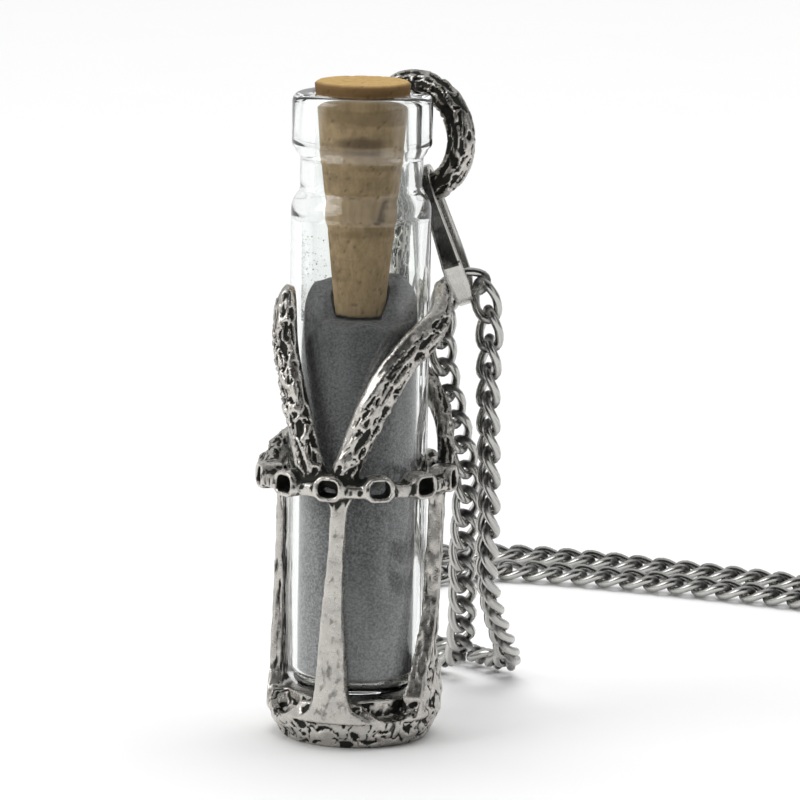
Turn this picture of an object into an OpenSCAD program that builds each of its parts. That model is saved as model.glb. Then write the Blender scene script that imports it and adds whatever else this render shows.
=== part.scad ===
// Bottle pendant: a corked glass vial of powder in a cast holder, on a bail and a curb chain.
// Millimetres. Z is up, the underside of the holder's base is at z = 0 and the vial's axis is the Z axis.
// An angle round the axis is 0 at the front (-Y) and 90 at +X.

/* [Vial] */
// Outside diameter of the vial's body
vial_d = 13; // [11:0.5:14]
// Height of the vial from its foot to the top of its lip
vial_h = 55.8; // [50:0.2:62]
// Thickness of the glass wall
vial_wall = 1; // [0.7:0.1:1.3]
// Thickness of the vial's floor
vial_floor = 1.3; // [0.8:0.1:2]
// Rounding of the vial's foot
foot_round = 2.2; // [1.6:0.1:2.6]
// Thickness of the glass round the mouth, at the neck
neck_wall = 1.3; // [1:0.05:1.5]
// Height of the narrow part of the neck
neck_h = 3.3; // [2:0.1:4]
// Height of the shoulder between the body and the neck
shoulder_h = 1.6; // [1:0.1:3]
// Thickness of the glass round the mouth, at the lip
lip_wall = 2.1; // [1.7:0.05:2.4]
// Height of the lip's straight band
lip_h = 4.75; // [3:0.05:6]
// Height of the slope under the lip
lip_slope = 1.1; // [0.6:0.1:1.8]
// Rounding of the lip's rim
lip_round = 0.8; // [0.4:0.1:1]

/* [Cork] */
// Diameter of the cork's top
cork_d = 8.9; // [8:0.1:9.3]
// Diameter of the cork's tip
cork_tip_d = 4.6; // [4:0.1:6]
// Length of the cork
cork_len = 21.7; // [18:0.1:23]
// Height by which the cork stands over the lip
cork_proud = 1.1; // [0.5:0.1:3]
// Bevel of the cork's upper edge
cork_edge = 0.25; // [0.1:0.05:0.5]
// Gap between the cork and the rim of the mouth
cork_gap = 0.06; // [0.03:0.01:0.1]

/* [Powder] */
// Depth of the powder over the vial's inner floor
powder_depth = 33.5; // [28:0.5:36]
// Height of the powder's heap over its level
powder_heap = 3.4; // [1:0.1:4]
// Gap between the powder and the glass or the cork
powder_gap = 0.12; // [0.08:0.02:0.3]

/* [Holder base] */
// Height of the base, on which the vial stands
base_h = 4.3; // [3.6:0.1:5]
// Gap between the base and the vial's foot
seat_gap = 0.25; // [0.1:0.05:0.4]
// Gap between the vial's body and the arms
cage_gap = 0.2; // [0.1:0.05:0.4]
// Radius of the hollow in the rim between two straps
notch_r = 3; // [2.4:0.1:3.4]
// Depth of that hollow under the top of the base
notch_depth = 1.6; // [1:0.1:2.2]
// Turn of a hollow from the strap before it
notch_turn = 39; // [36:1:45]

/* [Straps] */
// Gap between the straps' inside and the vial's body
strap_gap = 0.35; // [0.2:0.05:0.6]
// Thickness of a strap at its foot
strap_t = 1.5; // [1.3:0.05:1.8]
// Width of a strap over its foot
strap_w = 3; // [2.4:0.1:3.4]
// Way that the outside of a leaning strap comes in towards the girdle
strap_lean = 0.8; // [0:0.1:0.9]
// Way that the straps' outside stands proud of the base
strap_proud = 0.15; // [0.05:0.05:0.3]

/* [Girdle] */
// Height of the middle of the girdle
girdle_z = 24.8; // [22:0.2:27]
// Thickness of the girdle at its upright links
girdle_t = 2.3; // [2:0.1:2.6]
// Depth of the girdle's inside under the outside of the straps that lean most
girdle_bite = 0.35; // [0.2:0.05:0.5]
// Number of upright links
link_count = 12; // [10:1:12]
// Turn of the first upright link from the front
link_turn = -5; // [-8:1:2]
// Height of an upright link
link_h = 2.45; // [2.2:0.05:2.8]
// Width of an upright link
link_w = 2.9; // [2.4:0.1:3.2]
// Width of the metal round a link's hole
link_rim = 0.52; // [0.4:0.02:0.6]
// Height of the bar between two upright links
bar_h = 1.25; // [1:0.05:1.5]
// Way that a bar stands back from the links' faces
bar_back = 0.3; // [0.1:0.05:0.5]
// Drop of the bars' middle under the links' middle
bar_drop = 0.25; // [0:0.05:0.4]

/* [Arms] */
// Width of an arm at its widest
arm_w = 3.1; // [2.4:0.1:3.6]
// Thickness of an arm
arm_t = 2; // [1.3:0.1:2.2]
// Rise of the two front arms over the girdle
arm_rise = 18; // [14:0.5:20]
// Rise of the two back arms over the girdle, up to the stem
back_rise = 9.5; // [8:0.5:12]
// Height of the bark's ridges
bark_h = 0.16; // [0.05:0.01:0.2]

/* [Ring] */
// Outside diameter of the ring
ring_d = 12.6; // [11.6:0.1:13.4]
// Thickness of the ring's metal
ring_wire = 2.6; // [2:0.1:2.8]
// Drop of the ring's centre under the vial's top
ring_drop = 4.95; // [3:0.05:7]
// Gap between the vial's lip and the ring
ring_gap = 1.15; // [0.8:0.05:2]
// Turn of the ring and its stem from the front
ring_turn = 157; // [150:1:165]

/* [Bail] */
// Thickness of the bail's sheet
bail_t = 0.5; // [0.4:0.05:0.6]
// Width of the bail where it holds the chain
bail_w = 2.1; // [1.8:0.1:2.3]
// Width of the bail at its two ends
bail_end_w = 1.2; // [1:0.1:1.6]
// Length of the bail from the ring's metal to its lower end
bail_len = 11.7; // [11.2:0.1:12.2]
// Room between the bail's two legs where they bend
bail_room = 4.1; // [3.6:0.1:4.6]
// Play of the bail round the ring's metal
bail_gap = 0.75; // [0.65:0.05:0.9]
// Gap between the bail's top and the ring's metal, on which it hangs
bail_seat = 0.45; // [0.4:0.05:0.6]
// Lean of the bail along the ring's plane
bail_lean = 18; // [14:1:20]
// Tilt of the bail away from the vial
bail_tilt = 8; // [6:1:10]
// Turn of the bail on the ring
bail_turn = 28; // [20:1:32]

/* [Chain and clasp] */
// Width of the tube that stands for the chain's links
chain_w = 2.4; // [2:0.1:2.4]
// Width of the clasp
clasp_w = 4.6; // [4:0.1:6]
// Width of the clasp's rim round its hole
clasp_rim = 1.05; // [0.8:0.05:1.3]
// Width of the clasp's tail
clasp_tail_w = 2.8; // [2.4:0.1:3.4]
// Diameter of the eye in the clasp's tail
clasp_eye_d = 1.4; // [1:0.1:1.6]
// Thickness of the clasp
clasp_t = 1.8; // [1.4:0.1:2.4]
// Gap between the clasp and an end of the chain
clasp_gap = 0.2; // [0.1:0.05:0.4]

/* [Hidden] */
$fn = 72;

vial_r = vial_d / 2;
vial_z = base_h + seat_gap;
vial_top = vial_z + vial_h;
bore_r = vial_r - vial_wall;
bore_round = foot_round - vial_wall / 2;
floor_z = vial_z + vial_floor;

cork_top = vial_top + cork_proud;
cork_tip_z = cork_top - cork_len;
function cork_r(z) = (cork_tip_d + (cork_d - cork_tip_d) * (z - cork_tip_z) / cork_len) / 2;
mouth_r = cork_r(vial_top) + cork_gap;
mouth_edge = 0.25;
neck_r = mouth_r + neck_wall;
lip_r = mouth_r + lip_wall;
lip_low = vial_top - lip_h;
neck_top = lip_low - lip_slope;
neck_low = neck_top - neck_h;
body_top = neck_low - shoulder_h;

powder_z = floor_z + powder_gap;
powder_top = powder_z + powder_depth;
powder_r = bore_r - powder_gap;

cage_r = vial_r + cage_gap;
strap_in = vial_r + strap_gap;
strap_out = strap_in + strap_t;
base_r = strap_out - strap_proud;
girdle_low = girdle_z - link_h / 2;
girdle_in = strap_out - strap_lean - girdle_bite;
girdle_r = girdle_in + girdle_t;
bar_low = girdle_z - bar_drop - bar_h / 2;

ring_r = (ring_d - ring_wire) / 2;
ring_z = vial_top - ring_drop;
ring_out = lip_r + ring_gap + ring_wire / 2;
stem_low = girdle_z + back_rise;
stem_top = ring_z - ring_r;

// Height from the strap's lower end as a share of the strap's, then the left and right edges as shares of
// its width
STRAP_ROWS = [
    [0.00, -1.47, 1.10],
    [0.03, -1.10, 0.85],
    [0.06, -0.90, 0.58],
    [0.10, -0.77, 0.38],
    [0.16, -0.71, 0.29],
    [0.27, -0.65, 0.23],
    [0.48, -0.54, 0.14],
    [0.72, -0.37, 0.14],
    [0.94, -0.29, 0.24],
    [1.00, -0.48, 0.43],
];
// The same for the right strap, which sweeps forward over a lump on the base
SWEPT_STRAP_ROWS = [
    [0.00, -1.60, 1.10],
    [0.05, -1.50, 1.10],
    [0.10, -1.42, 1.00],
    [0.16, -1.30, 0.80],
    [0.21, -1.20, 0.35],
    [0.25, -1.12, -0.30],
    [0.31, -0.98, -0.52],
    [0.42, -0.72, -0.34],
    [0.53, -0.56, -0.20],
    [0.72, -0.42, -0.02],
    [0.94, -0.29, 0.24],
    [1.00, -0.48, 0.43],
];

// Turn of each strap from the front, the share of the lean that its outside takes, and its rows
STRAPS = [
    [0, 0.5, STRAP_ROWS],
    [90, 0, SWEPT_STRAP_ROWS],
    [180, 0.5, STRAP_ROWS],
    [270, 1, STRAP_ROWS],
];

// Turn from the front in degrees, rise as a share of the arm's, width and thickness as shares of the arm's,
// and the way its inside stands off the vial as a share of its thickness
LEFT_ARM_ROWS = [
    [-17, -0.02, 1.25, 0.85, 0],
    [-21, 0.06, 0.95, 0.90, 0],
    [-25, 0.15, 0.86, 0.92, 0],
    [-31.5, 0.31, 0.88, 0.95, 0],
    [-39, 0.47, 0.92, 1.00, 0],
    [-47, 0.64, 1.00, 1.00, 0],
    [-50, 0.75, 1.00, 1.00, 0],
    [-50.5, 0.87, 0.85, 0.90, 0],
    [-50, 0.96, 0.50, 0.70, 0],
    [-50, 1.00, 0.12, 0.30, 0],
];
RIGHT_ARM_ROWS = [
    [1, -0.02, 1.05, 0.85, 0],
    [4.5, 0.09, 0.82, 0.90, 0],
    [9.5, 0.18, 0.80, 0.92, 0],
    [18.5, 0.34, 0.90, 0.95, 0],
    [29.5, 0.51, 0.96, 1.00, 0],
    [46, 0.67, 1.00, 1.00, 0],
    [64, 0.76, 0.98, 1.00, 0],
    [82, 0.83, 0.94, 1.00, 0],
    [94, 0.90, 0.88, 0.95, 0],
    [99, 0.97, 0.66, 0.80, 0],
    [101, 1.00, 0.20, 0.35, 0],
];
RIGHT_BACK_ROWS = [
    [98, -0.02, 0.95, 0.80, 0.35],
    [102, 0.14, 0.80, 0.75, 0.40],
    [106, 0.32, 0.74, 0.72, 0.40],
    [112, 0.50, 0.74, 0.75, 0.30],
    [122, 0.66, 0.76, 0.85, 0.15],
    [137, 0.81, 0.80, 0.95, 0],
    [154, 1.00, 0.90, 0.97, 0],
];
LEFT_BACK_ROWS = [
    [-76, -0.03, 1.15, 0.95, 0.10],
    [-87, 0.05, 1.00, 1.00, 0.15],
    [-99, 0.13, 0.86, 1.00, 0.10],
    [-116, 0.26, 0.78, 0.90, 0],
    [-140, 0.46, 0.78, 0.90, 0],
    [-165, 0.66, 0.80, 0.95, 0],
    [-186, 0.84, 0.85, 1.00, 0],
    [-206, 1.06, 0.82, 1.00, 0],
];
// Height from the back arms' joint up to the ring as a share, width, thickness and the way out to the
// ring's plane as shares
STEM_ROWS = [
    [-0.10, 0.85, 0.80, 0.00],
    [0.10, 1.05, 0.88, 0.00],
    [0.35, 0.95, 0.88, 0.15],
    [0.65, 0.85, 0.90, 0.55],
    [0.90, 0.85, 0.95, 1.00],
    [1.02, 0.90, 1.05, 1.00],
];
ARM_SIDES = 12;
ARM_STEPS = 2;
TIP_LEAST = 0.05;

// The chain's route: x, y, z and the width there as a share of the chain's, from one end at the clasp,
// along the floor behind the pendant, up through the bail, down again and back to the clasp
CHAIN_POINTS = [
    [68, 16, 1.25, 0.9],
    [68, 26, 1.25, 1],
    [67.8, 37, 1.25, 1],
    [66.5, 47, 1.25, 1],
    [63, 56, 1.25, 1],
    [57, 63.5, 1.25, 1],
    [46, 69.6, 1.25, 1],
    [32, 73.6, 1.25, 1],
    [16, 77, 1.25, 1],
    [0, 79.5, 1.25, 1],
    [-8, 77.5, 1.25, 1],
    [-13.5, 72, 1.25, 1],
    [-16, 64, 1.25, 1],
    [-16, 55, 1.25, 1],
    [-13.5, 45, 1.25, 1],
    [-9, 37, 1.25, 1],
    [-3, 30.5, 1.25, 1],
    [2.4, 26.2, 1.3, 1],
    [5, 23.8, 2.5, 1],
    [6, 21.4, 5.2, 1],
    [6.6, 18.8, 9.2, 1],
    [7, 16.4, 13.7, 1],
    [7.6, 14.2, 18.2, 1],
    [8, 12.6, 22.7, 1],
    [7.2, 11, 27.8, 1],
    [6.3, 9.8, 32.4, 1],
    [6, 9, 36.6, 1],
    [6.1, 9.3, 39.4, 0.85],
    [7, 9.4, 41.2, 0.68],
    [8.4, 9.3, 41.7, 0.68],
    [9.8, 9, 41, 0.8],
    [10.6, 8.6, 37.8, 0.95],
    [10.7, 8.3, 31.3, 1],
    [10.7, 9.2, 24.8, 1],
    [10.4, 11.2, 18.3, 1],
    [9.8, 14.2, 13, 1],
    [9.8, 17.6, 8.7, 1],
    [10.1, 21, 5.2, 1],
    [10.1, 24.2, 2.6, 1],
    [8.8, 27.2, 1.4, 1],
    [5.6, 30, 1.25, 1],
    [1, 33.4, 1.25, 1],
    [-4, 38.6, 1.25, 1],
    [-7.5, 46, 1.25, 1],
    [-9, 54, 1.25, 1],
    [-8, 62, 1.25, 1],
    [-4, 68.6, 1.25, 1],
    [3, 71.2, 1.25, 1],
    [18, 69.3, 1.25, 1],
    [34, 65.5, 1.25, 1],
    [44, 61.4, 1.25, 1],
    [51, 53.5, 1.25, 1],
    [54, 43, 1.25, 1],
    [54, 30, 1.25, 1],
    [54, 17, 1.25, 1],
    [54, 4, 1.25, 1],
    [54, -9, 1.25, 1],
    [55.2, -19.2, 1.25, 1],
    [61, -23.2, 1.25, 1],
    [66.8, -19.2, 1.25, 1],
    [68, -9, 1.25, 1],
    [68, 4, 1.25, 0.9],
];
CHAIN_SIDES = 8;

function polar(turn, r, z) = [r * sin(turn), -r * cos(turn), z];
function unit(v) = v / norm(v);
function near_row(rows, i) = rows[min(max(i, 0), len(rows) - 1)];
function blend_row(a, b, c, d, t) =
    (2 * b + (c - a) * t + (2 * a - 5 * b + 4 * c - d) * t * t + (3 * b - a - 3 * c + d) * t * t * t) / 2;
function smooth_rows(rows, steps) = [
    for (i = [0:len(rows) - 2], k = [0:steps - 1])
        blend_row(near_row(rows, i - 1), rows[i], rows[i + 1], near_row(rows, i + 2), k / steps),
    rows[len(rows) - 1],
];
function arc(cx, cy, r, from, to, steps) = [
    for (k = [0:steps]) [cx + r * cos(from + (to - from) * k / steps), cy + r * sin(from + (to - from) * k / steps)],
];

// One closed skin over rings of as many points each
module skin(rings) {
    sides = len(rings[0]);
    last = len(rings) - 1;
    points = [for (ring = rings, p = ring) p];
    walls = [
        for (i = [0:last - 1], j = [0:sides - 1])
            let (a = i * sides + j, b = i * sides + (j + 1) % sides)
                each [[a, b + sides, b], [a, a + sides, b + sides]],
    ];
    low = [for (j = [0:sides - 1]) j];
    high = [for (j = [sides - 1:-1:0]) last * sides + j];
    polyhedron(points, concat([low], walls, [high]), convexity = 8);
}

// Ridges of the bark over an arm's outer side
function bark(i, turn) = bark_h * max(sin(turn), 0) * sin(3 * turn + 95 * i);

// An arm from rows of turn, height, width, thickness and the distance from the axis to its inner side
module arm(rows) {
    centres = [for (row = rows) polar(row[0], row[4] + row[3] / 2, row[1])];
    skin([
        for (i = [0:len(rows) - 1])
            let (
                along = unit(near_row(centres, i + 1) - near_row(centres, i - 1)),
                side = unit(cross(along, polar(rows[i][0], 1, 0))),
                out = cross(side, along)
            )
                [
                    for (j = [0:ARM_SIDES - 1])
                        let (
                            turn = 360 * (j + 0.5) / ARM_SIDES,
                            grow = 1 + bark(i, turn) / arm_t * 2
                        )
                            centres[i]
                                - side * (max(rows[i][2], TIP_LEAST) / 2 * cos(turn) * grow)
                                + out * (rows[i][3] / 2 * sin(turn) * grow),
                ],
    ]);
}

// Rows of an arm that rises from the girdle
function arm_rows(table, rise) = [
    for (row = smooth_rows(table, ARM_STEPS))
        [row[0], girdle_z + rise * row[1], arm_w * row[2], arm_t * row[3], cage_r + arm_t * row[4]],
];

function stem_rows() =
    let (way = ring_out - arm_t / 2 - cage_r) [
        for (row = smooth_rows(STEM_ROWS, ARM_STEPS))
            [
                ring_turn,
                stem_low + (stem_top - stem_low) * row[0],
                arm_w * row[1],
                arm_t * row[2],
                cage_r + way * row[3],
            ],
    ];

// The base with a hollow in its rim between each two straps
module base() {
    difference() {
        rotate_extrude()
            polygon([
                [0, 0],
                [base_r * 0.83, 0],
                [base_r * 0.88, base_h * 0.08],
                [base_r * 0.965, base_h * 0.34],
                [base_r, base_h * 0.62],
                [base_r * 0.985, base_h * 0.86],
                [base_r * 0.94, base_h],
                [0, base_h],
            ]);
        for (strap = STRAPS)
            rotate([0, 0, strap[0] + notch_turn])
                translate([0, -vial_r * 0.92, base_h - notch_depth + notch_r])
                    rotate([90, 0, 0])
                        cylinder(r = notch_r, h = base_r);
    }
}

// One strap at the front, from the base to the girdle, with its share of the lean and its rows
module strap(lean, rows) {
    low = base_h * 0.57;
    high = girdle_low + link_rim * 0.9 - low;
    left = [for (row = rows) [row[1] * strap_w, row[0] * high]];
    right = [for (i = [len(rows) - 1:-1:0]) [rows[i][2] * strap_w, rows[i][0] * high]];
    intersection() {
        translate([0, 0, low])
            rotate([90, 0, 0])
                linear_extrude(height = 2 * strap_out)
                    polygon(concat(left, right));
        difference() {
            cylinder(r1 = strap_out, r2 = strap_out - strap_lean * lean, h = girdle_z);
            translate([0, 0, -1])
                cylinder(r = strap_in, h = girdle_z + 2);
        }
    }
}

// A link's outline with cut corners
module link_outline(w, h, cut) {
    polygon([
        [-w / 2 + cut, -h / 2],
        [w / 2 - cut, -h / 2],
        [w / 2, -h / 2 + cut],
        [w / 2, h / 2 - cut],
        [w / 2 - cut, h / 2],
        [-w / 2 + cut, h / 2],
        [-w / 2, h / 2 - cut],
        [-w / 2, -h / 2 + cut],
    ]);
}

// What stands at each upright link's place, extruded outwards through the girdle
module at_links(from, thick) {
    for (k = [0:link_count - 1])
        rotate([0, 0, link_turn + 360 * k / link_count])
            translate([0, -from, girdle_z])
                rotate([90, 0, 0])
                    linear_extrude(height = thick)
                        children();
}

module girdle() {
    corner = link_rim * 1.3;
    difference() {
        union() {
            translate([0, 0, bar_low])
                difference() {
                    cylinder(r = girdle_r - bar_back, h = bar_h);
                    translate([0, 0, -1])
                        cylinder(r = girdle_in, h = bar_h + 2);
                }
            at_links(girdle_in, girdle_t)
                link_outline(link_w, link_h, corner);
        }
        at_links(girdle_in - girdle_t, 3 * girdle_t)
            link_outline(link_w - 2 * link_rim, link_h - 2 * link_rim, corner * 0.4);
    }
}

module ring() {
    translate(polar(ring_turn, ring_out, ring_z))
        rotate([90, 0, ring_turn])
            rotate_extrude()
                translate([ring_r, 0])
                    circle(d = ring_wire);
}

module holder() {
    color([0.55, 0.54, 0.51])
        union() {
            base();
            for (row = STRAPS)
                rotate([0, 0, row[0]])
                    strap(row[1], row[2]);
            girdle();
            arm(arm_rows(LEFT_ARM_ROWS, arm_rise));
            arm(arm_rows(RIGHT_ARM_ROWS, arm_rise));
            arm(arm_rows(RIGHT_BACK_ROWS, back_rise));
            arm(arm_rows(LEFT_BACK_ROWS, back_rise));
            arm(stem_rows());
            ring();
        }
}

module vial() {
    outside = concat(
        [[0, vial_z]],
        arc(vial_r - foot_round, vial_z + foot_round, foot_round, -90, 0, 5),
        [[vial_r, body_top], [vial_r * 0.98, body_top + shoulder_h * 0.3]],
        [[neck_r * 1.02, neck_low - shoulder_h * 0.15], [neck_r, neck_low], [neck_r, neck_top]],
        [[lip_r, lip_low]],
        arc(lip_r - lip_round, vial_top - lip_round, lip_round, 0, 90, 5)
    );
    inside = concat(
        [[mouth_r + mouth_edge, vial_top], [mouth_r, vial_top - mouth_edge]],
        [[mouth_r, neck_low], [bore_r, body_top - shoulder_h * 0.4]],
        arc(bore_r - bore_round, floor_z + bore_round, bore_round, 0, -90, 5),
        [[0, floor_z]]
    );
    color([0.86, 0.92, 0.9, 0.4])
        rotate_extrude()
            polygon(concat(outside, inside));
}

module cork_body(gap) {
    translate([0, 0, cork_tip_z - gap])
        cylinder(r1 = cork_tip_d / 2 + gap, r2 = cork_d / 2 + gap, h = cork_len + gap);
}

module powder() {
    color([0.3, 0.3, 0.31])
        difference() {
            intersection() {
                rotate_extrude()
                    polygon(concat(
                        [[0, powder_z]],
                        arc(powder_r - bore_round, powder_z + bore_round, bore_round, -90, 0, 5),
                        [[powder_r, body_top - shoulder_h], [0, body_top - shoulder_h]]
                    ));
                union() {
                    cylinder(r = vial_r, h = powder_top);
                    translate([powder_r * 0.4, powder_r * 0.7, powder_top + powder_heap - vial_r * 0.85])
                        sphere(r = vial_r * 0.85);
                    translate([-powder_r * 0.6, powder_r * 0.5, powder_top + powder_heap * 0.9 - vial_r * 0.75])
                        sphere(r = vial_r * 0.75);
                }
            }
            cork_body(powder_gap);
        }
}

module cork() {
    color([0.72, 0.54, 0.33])
        difference() {
            cork_body(0);
            translate([0, 0, cork_top - cork_edge])
                rotate_extrude()
                    polygon([[cork_d / 2 - cork_edge, cork_edge], [cork_d / 2 + 1, -1], [cork_d / 2 + 1, cork_edge]]);
        }
}

// The loop's outline seen along the bail's width, its inside grown by a sheet's thickness
module bail_outline(grow) {
    top_r = ring_wire / 2 + bail_gap;
    end_r = bail_room * 0.3;
    bend = bail_len * 0.56;
    polygon(concat(
        arc(0, bail_seat - bail_gap, top_r + grow, 180, 0, 12),
        [[bail_room / 2 + grow, -bend]],
        arc(0, -bail_len + bail_t + end_r, end_r + grow, -20, -160, 8),
        [[-bail_room / 2 - grow, -bend]]
    ));
}

module bail() {
    reach = bail_len + ring_wire;
    color([0.6, 0.6, 0.59])
        translate(polar(ring_turn, ring_out, ring_z))
            rotate([0, 0, ring_turn - 180])
                translate([ring_r * sin(bail_lean), 0, -ring_r * cos(bail_lean)])
                    rotate([bail_tilt, -bail_lean, bail_turn])
                        intersection() {
                            rotate([90, 0, 90])
                                linear_extrude(height = bail_w, center = true)
                                    difference() {
                                        bail_outline(bail_t);
                                        bail_outline(0);
                                    }
                            translate([0, bail_room, 0])
                                rotate([90, 0, 0])
                                    linear_extrude(height = 2 * bail_room)
                                        polygon([
                                            [-bail_end_w / 2, reach],
                                            [-bail_end_w / 2, 0],
                                            [-bail_w / 2, -bail_len * 0.8],
                                            [-bail_end_w / 2, -bail_len],
                                            [bail_end_w / 2, -bail_len],
                                            [bail_w / 2, -bail_len * 0.8],
                                            [bail_end_w / 2, 0],
                                            [bail_end_w / 2, reach],
                                        ]);
                        }
}

module chain() {
    last = len(CHAIN_POINTS) - 1;
    places = [for (row = CHAIN_POINTS) [row[0], row[1], row[2]]];
    color([0.62, 0.62, 0.63])
        skin([
            for (i = [0:last])
                let (
                    along = unit(near_row(places, i + 1) - near_row(places, i - 1)),
                    side = unit(cross(along, abs(along[2]) > 0.95 ? [0, 1, 0] : [0, 0, 1])),
                    up = cross(side, along)
                )
                    [
                        for (j = [0:CHAIN_SIDES - 1])
                            let (turn = 360 * (j + 0.5) / CHAIN_SIDES, r = chain_w / 2 * CHAIN_POINTS[i][3])
                                places[i] + side * (r * cos(turn)) + up * (r * sin(turn)),
                    ],
        ]);
}

// A plain clasp between the chain's two ends, lying on the floor: a wide loop with an eye at its tail
module clasp() {
    first = CHAIN_POINTS[0];
    final = CHAIN_POINTS[len(CHAIN_POINTS) - 1];
    half = (first[1] - final[1]) / 2 - clasp_gap;
    body_r = clasp_w / 2;
    tail_r = clasp_tail_w / 2;
    low = body_r - half;
    high = half - tail_r;
    color([0.6, 0.6, 0.61])
        translate([(first[0] + final[0]) / 2, (first[1] + final[1]) / 2, 0])
            linear_extrude(height = clasp_t)
                difference() {
                    union() {
                        polygon([[-body_r, low], [body_r, low], [tail_r, high], [-tail_r, high]]);
                        translate([0, low])
                            circle(r = body_r);
                        translate([0, high])
                            circle(r = tail_r);
                    }
                    polygon([
                        [clasp_rim - body_r, low],
                        [body_r - clasp_rim, low],
                        [tail_r - clasp_rim, high - clasp_tail_w],
                        [clasp_rim - tail_r, high - clasp_tail_w],
                    ]);
                    translate([0, low])
                        circle(r = body_r - clasp_rim);
                    translate([0, high])
                        circle(d = clasp_eye_d);
                }
}

holder();
vial();
powder();
cork();
bail();
chain();
clasp();
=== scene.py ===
"""The bottle pendant's looks: a corked vial of powder in an oxidised cast holder, with its bail and chain."""
import math
import random

import bmesh
import bpy
import numpy as np
from bpy.props import FloatProperty, FloatVectorProperty, IntProperty, PointerProperty
from bpy.types import Operator, Panel, PropertyGroup
from mathutils import Matrix, Vector, noise
from mathutils.bvhtree import BVHTree


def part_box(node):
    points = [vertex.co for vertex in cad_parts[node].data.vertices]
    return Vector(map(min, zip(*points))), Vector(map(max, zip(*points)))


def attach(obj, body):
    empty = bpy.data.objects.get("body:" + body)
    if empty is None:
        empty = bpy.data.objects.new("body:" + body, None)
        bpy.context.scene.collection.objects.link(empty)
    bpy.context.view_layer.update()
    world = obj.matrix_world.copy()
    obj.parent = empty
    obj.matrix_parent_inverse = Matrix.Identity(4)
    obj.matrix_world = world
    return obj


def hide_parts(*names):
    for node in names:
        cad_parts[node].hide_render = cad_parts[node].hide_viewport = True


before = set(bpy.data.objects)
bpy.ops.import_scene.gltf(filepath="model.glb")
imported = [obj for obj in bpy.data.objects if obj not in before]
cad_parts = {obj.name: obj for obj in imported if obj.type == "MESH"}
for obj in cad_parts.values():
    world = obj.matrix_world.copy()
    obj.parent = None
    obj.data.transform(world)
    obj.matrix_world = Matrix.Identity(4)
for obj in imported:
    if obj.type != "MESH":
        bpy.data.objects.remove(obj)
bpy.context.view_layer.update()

bl_info = {
    "name": "Bottle Pendant",
    "version": (1, 0, 0),
    "blender": (4, 5, 0),
    "location": "View3D > Sidebar > Pendant",
    "description": "Dresses a corked vial pendant in its cast holder, with its bail and curb chain",
    "category": "Object",
}

MM = 0.001
FULL_TURN = 2 * math.pi

# The vial's axis is the Z axis. A turn is 0 at the front (-Y) and 90 degrees at +X. Lengths are in
# millimetres unless metres are named.
RING_CENTRE = (3.497, 8.240, 55.4)
RING_RADIUS = 5
RING_TURN = 157
ARM_RADIUS = 7.7
GIRDLE_Z = 24.8
# The way along the ring, level and square to its axis
RING_ALONG = np.array([math.cos(math.radians(RING_TURN)), math.sin(math.radians(RING_TURN)), 0])
# Turn and height over the girdle along each arm, for the run of its bark
ARM_PATHS = [
    [(-15, -1.5), (-21, 1.1), (-25, 2.7), (-31.5, 5.6), (-39, 8.5), (-47, 11.5), (-50, 13.5), (-50.5, 15.7),
     (-50, 18)],
    [(-1, -1.5), (4.5, 1.6), (9.5, 3.2), (18.5, 6.1), (29.5, 9.2), (46, 12.1), (64, 13.7), (82, 14.9),
     (94, 16.2), (99, 17.5), (101, 18.2)],
    [(97, -1), (102, 1.3), (106, 3), (112, 4.8), (122, 6.3), (137, 7.7), (154, 9.5)],
    [(-70, -0.6), (-87, 0.5), (-99, 1.2), (-116, 2.5), (-140, 4.4), (-165, 6.3), (-186, 8), (-206, 10.1)],
    [(157, 7.9), (157, 13), (157, 19), (157, 25.8)],
]
# Turn of each strap, and the way that its outside comes in up to the girdle
STRAPS = [(0, 0.4), (90, 0), (180, 0.4), (270, 0.8)]
# Heights over which the girdle's belt and the side straps' rough stretch come in and go out, and turns over
# which the lump at the base's right does
BELT = (22.6, 23.2, 26.2, 26.9)
ROUGH_STRETCH = (4.5, 6, 22.3, 23.3)
LUMP_TURNS = (62, 74, 122, 138)
# Turn and height of the cork's knots and stains, with their width, height and strength. The two wide marks
# at heights 56.1 and 55.7 are painted shade: the dark band under the glass lip.
CORK_KNOTS_AND_LIP_SHADE = [
    (39, 49, 0.5, 0.4, 0.9), (45, 49.5, 0.55, 0.45, 0.9), (52, 50.1, 0.5, 0.4, 0.8),
    (12, 56.1, 2.7, 0.75, 0.75), (-30, 55.7, 2, 0.5, 0.3), (140, 54, 0.8, 0.5, 1), (-150, 46, 0.6, 0.6, 1),
    (-62, 46.2, 0.35, 0.5, 0.6),
]
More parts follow.
